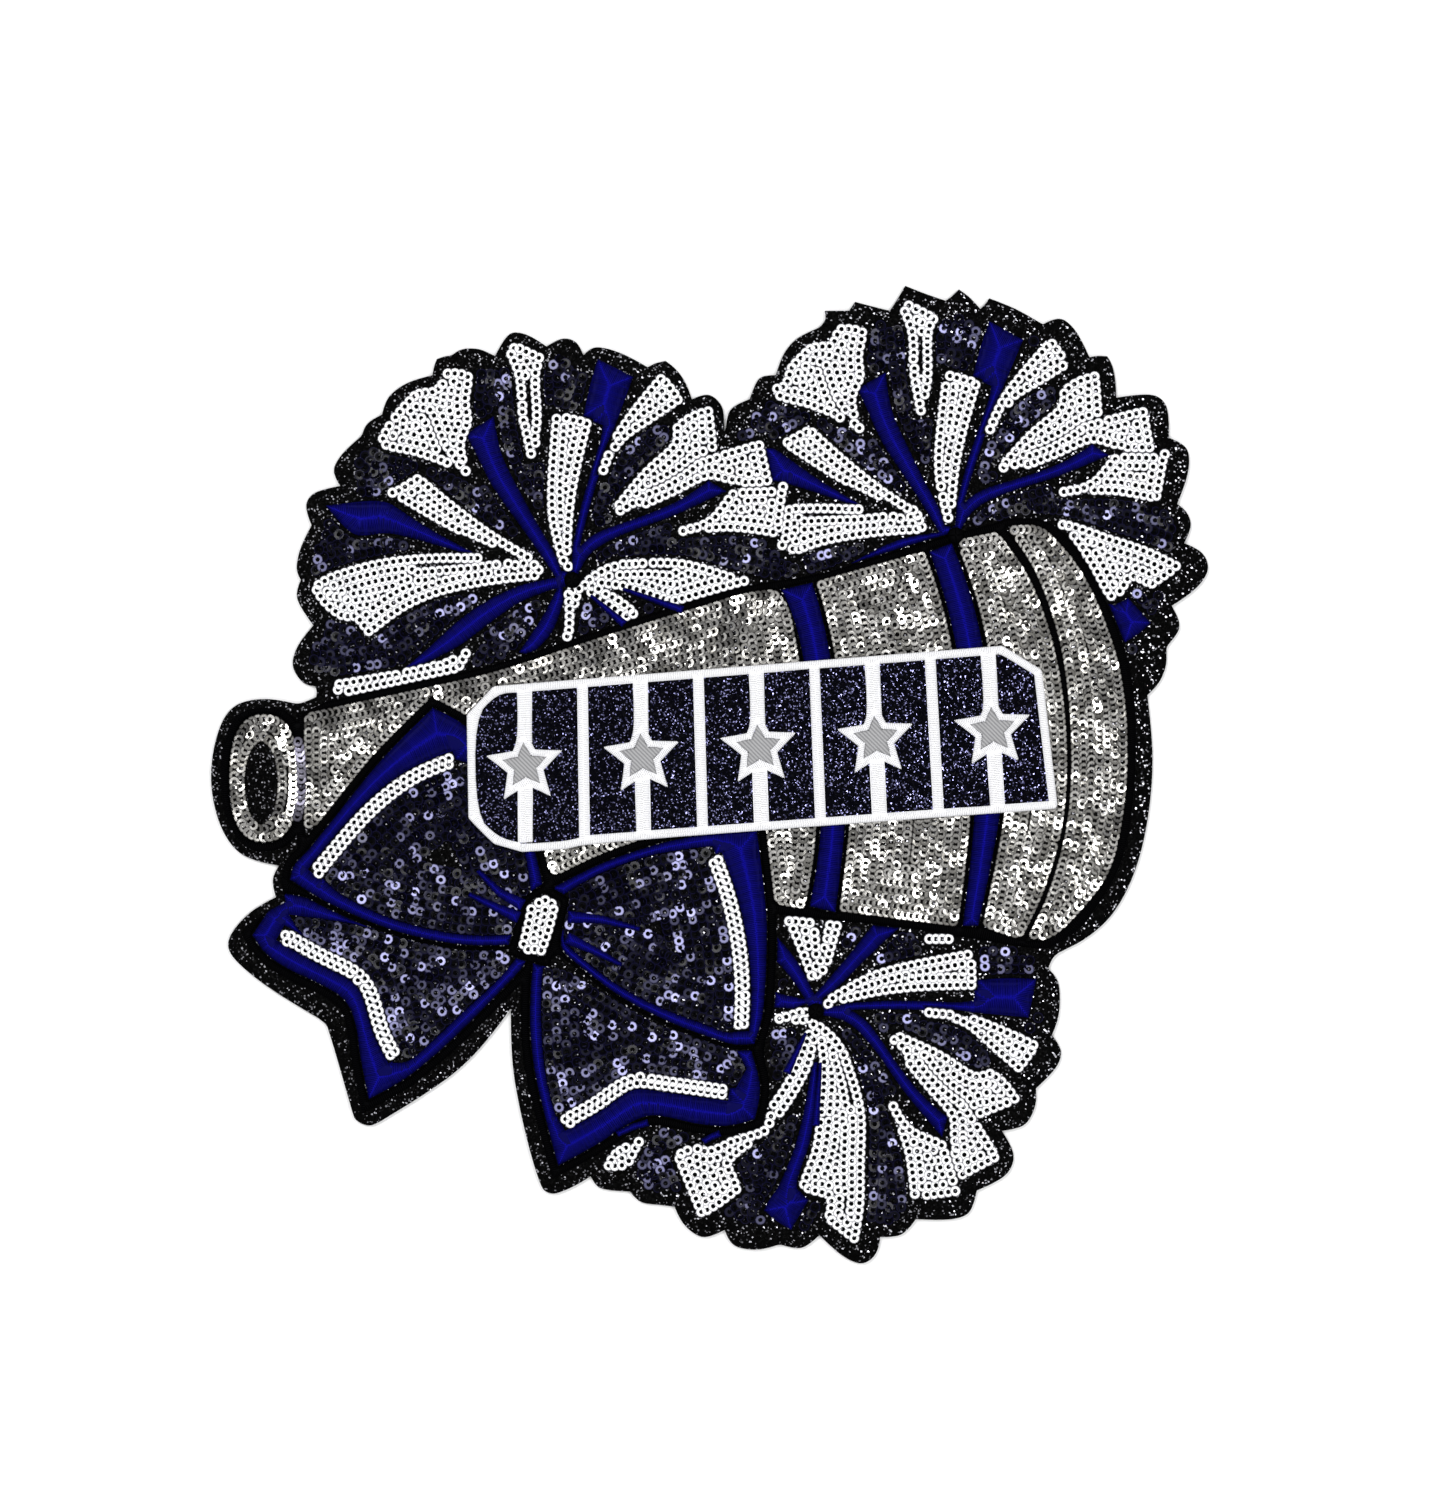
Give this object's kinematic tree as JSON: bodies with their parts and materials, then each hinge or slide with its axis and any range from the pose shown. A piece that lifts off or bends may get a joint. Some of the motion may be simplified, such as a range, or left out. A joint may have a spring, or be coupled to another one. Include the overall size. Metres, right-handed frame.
{
  "type": "sequin cheer patch",
  "caption": "Flat appliqué patch for cheer wear: sequin pom-poms, a silver sequin megaphone, a navy sequin bow and a plaque of stars, sewn on cut glitter fabric.",
  "frame": {"origin": "centre of the patch's bounding box, on the underside that rests on the garment or table", "axes": "+Z out of the decorated face, +Y towards the top of the artwork, +X towards its right"},
  "size_m": [0.2792, 0.2736, 0.0041],
  "materials": {
    "white_sequin": "glossy opaque white sequins",
    "navy_sequin": "translucent dark navy sequins",
    "silver_sequin": "metallised warm silver sequins",
    "navy_thread": "satin-stitched rayon thread",
    "black_thread": "satin-stitched rayon thread",
    "white_thread": "satin-stitched polyester thread",
    "black_glitter": "glitter-coated fabric",
    "navy_glitter": "glitter-coated fabric",
    "grey_twill": "woven twill",
    "felt": "needled felt",
    "adhesive_film": "matt heat-seal film"
  },
  "bodies": {
    "root": {"black_satin_outline": "black_thread", "bottom_pompom_centre_white_strands": "white_sequin", "bottom_pompom_hub_thread_strands": "navy_thread", "bottom_pompom_left_white_strands": "white_sequin", "bottom_pompom_lower_right_thread_strands": "navy_thread", "bottom_pompom_lower_right_white_strands": "white_sequin", "bottom_pompom_navy_sequins": "navy_sequin", "bottom_pompom_right_white_strands": "white_sequin", "bottom_pompom_stub_white_strands": "white_sequin", "bottom_pompom_top_white_strands": "white_sequin", "bottom_pompom_upper_right_white_strands": "white_sequin", "bow_knot": "white_sequin", "bow_left_loop_edging": "navy_thread", "bow_left_loop_navy_sequins": "navy_sequin", "bow_left_loop_white_trim": "white_sequin", "bow_left_tail_edging": "navy_thread", "bow_left_tail_navy_sequins": "navy_sequin", "bow_left_tail_white_trim": "white_sequin", "bow_right_loop_edging": "navy_thread", "bow_right_loop_navy_sequins": "navy_sequin", "bow_right_loop_white_trim": "white_sequin", "bow_right_tail_edging": "navy_thread", "bow_right_tail_navy_sequins": "navy_sequin", "bow_right_tail_white_trim": "white_sequin", "glitter_ground": "black_glitter", "heat_seal_film": "adhesive_film", "left_pompom_centre_white_strands": "white_sequin", "left_pompom_hub_thread_strands": "navy_thread", "left_pompom_left_thread_strands": "navy_thread", "left_pompom_left_white_strands": "white_sequin", "left_pompom_lower_left_white_strands": "white_sequin", "left_pompom_lower_right_white_strands": "white_sequin", "left_pompom_navy_sequins": "navy_sequin", "left_pompom_right_white_strands": "white_sequin", "left_pompom_top_white_strands": "white_sequin", "left_pompom_upper_left_white_strands": "white_sequin", "left_pompom_upper_right_white_strands": "white_sequin", "megaphone_bell_panel": "silver_sequin", "megaphone_first_band": "navy_thread", "megaphone_middle_panel": "silver_sequin", "megaphone_neck_panel": "silver_sequin", "megaphone_rim_panel": "silver_sequin", "megaphone_second_band": "navy_thread", "mouthpiece_ring": "silver_sequin", "plaque_grey_twill": "grey_twill", "plaque_navy_glitter": "navy_glitter", "plaque_white_satin": "white_thread", "right_pompom_centre_white_strands": "white_sequin", "right_pompom_hub_thread_strands": "navy_thread", "right_pompom_left_thread_strands": "navy_thread", "right_pompom_left_white_strands": "white_sequin", "right_pompom_lower_right_thread_strands": "navy_thread", "right_pompom_lower_right_white_strands": "white_sequin", "right_pompom_navy_sequins": "navy_sequin", "right_pompom_right_white_strands": "white_sequin", "right_pompom_top_white_strands": "white_sequin", "right_pompom_upper_left_white_strands": "white_sequin", "right_pompom_upper_right_white_strands": "white_sequin", "stabiliser_felt": "felt"}
  },
  "joints": []
}
